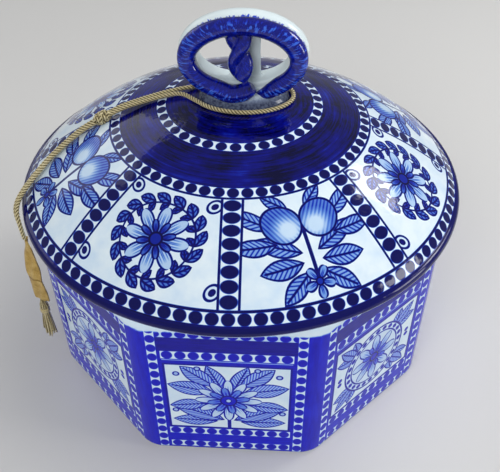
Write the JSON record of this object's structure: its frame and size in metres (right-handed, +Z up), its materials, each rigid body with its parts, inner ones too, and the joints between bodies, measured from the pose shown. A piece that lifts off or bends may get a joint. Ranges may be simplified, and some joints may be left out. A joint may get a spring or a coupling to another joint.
{
  "type": "biscuit jar",
  "caption": "Glazed ceramic biscuit jar with an eight-sided body, a round domed lift-off lid, a pretzel-shaped knob and a hang tag on a cord.",
  "frame": {"origin": "centre of the underside, on the surface that the jar stands on", "axes": "+Z up, -Y out of the front face, which one flat of the body and the knob's front look towards, +X to the right seen from the front"},
  "size_m": [0.2018, 0.2018, 0.1745],
  "materials": {
    "body_glaze": "glossy cobalt underglaze painting on white",
    "lid_glaze": "glossy cobalt underglaze painting on white",
    "knob_glaze": "glossy mottled cobalt and white glaze",
    "cord_gold": "twisted metallic gold cord",
    "tag_card": "folded gold-faced card"
  },
  "bodies": {
    "jar": {"jar_body": "body_glaze"},
    "lid": {"lid": "lid_glaze", "pretzel_knob": "knob_glaze", "cord_loop": "cord_gold", "cord_knot": "cord_gold", "cord_tail_a": "cord_gold", "cord_tail_b": "cord_gold"},
    "tag": {"gold_tag": "tag_card", "cord_tassel": "cord_gold"}
  },
  "joints": [
    {"name": "lid_lift", "type": "slide", "parent": "jar", "child": "lid", "axis": [0, 0, 1], "range_m": [0, 0.06]},
    {"name": "tag_swing", "type": "hinge", "parent": "lid", "child": "tag", "pos_m": [-0.09366, -0.04189, 0.0845], "axis": [-0.9128, -0.4083, 0], "range_deg": [-60, 60]}
  ]
}
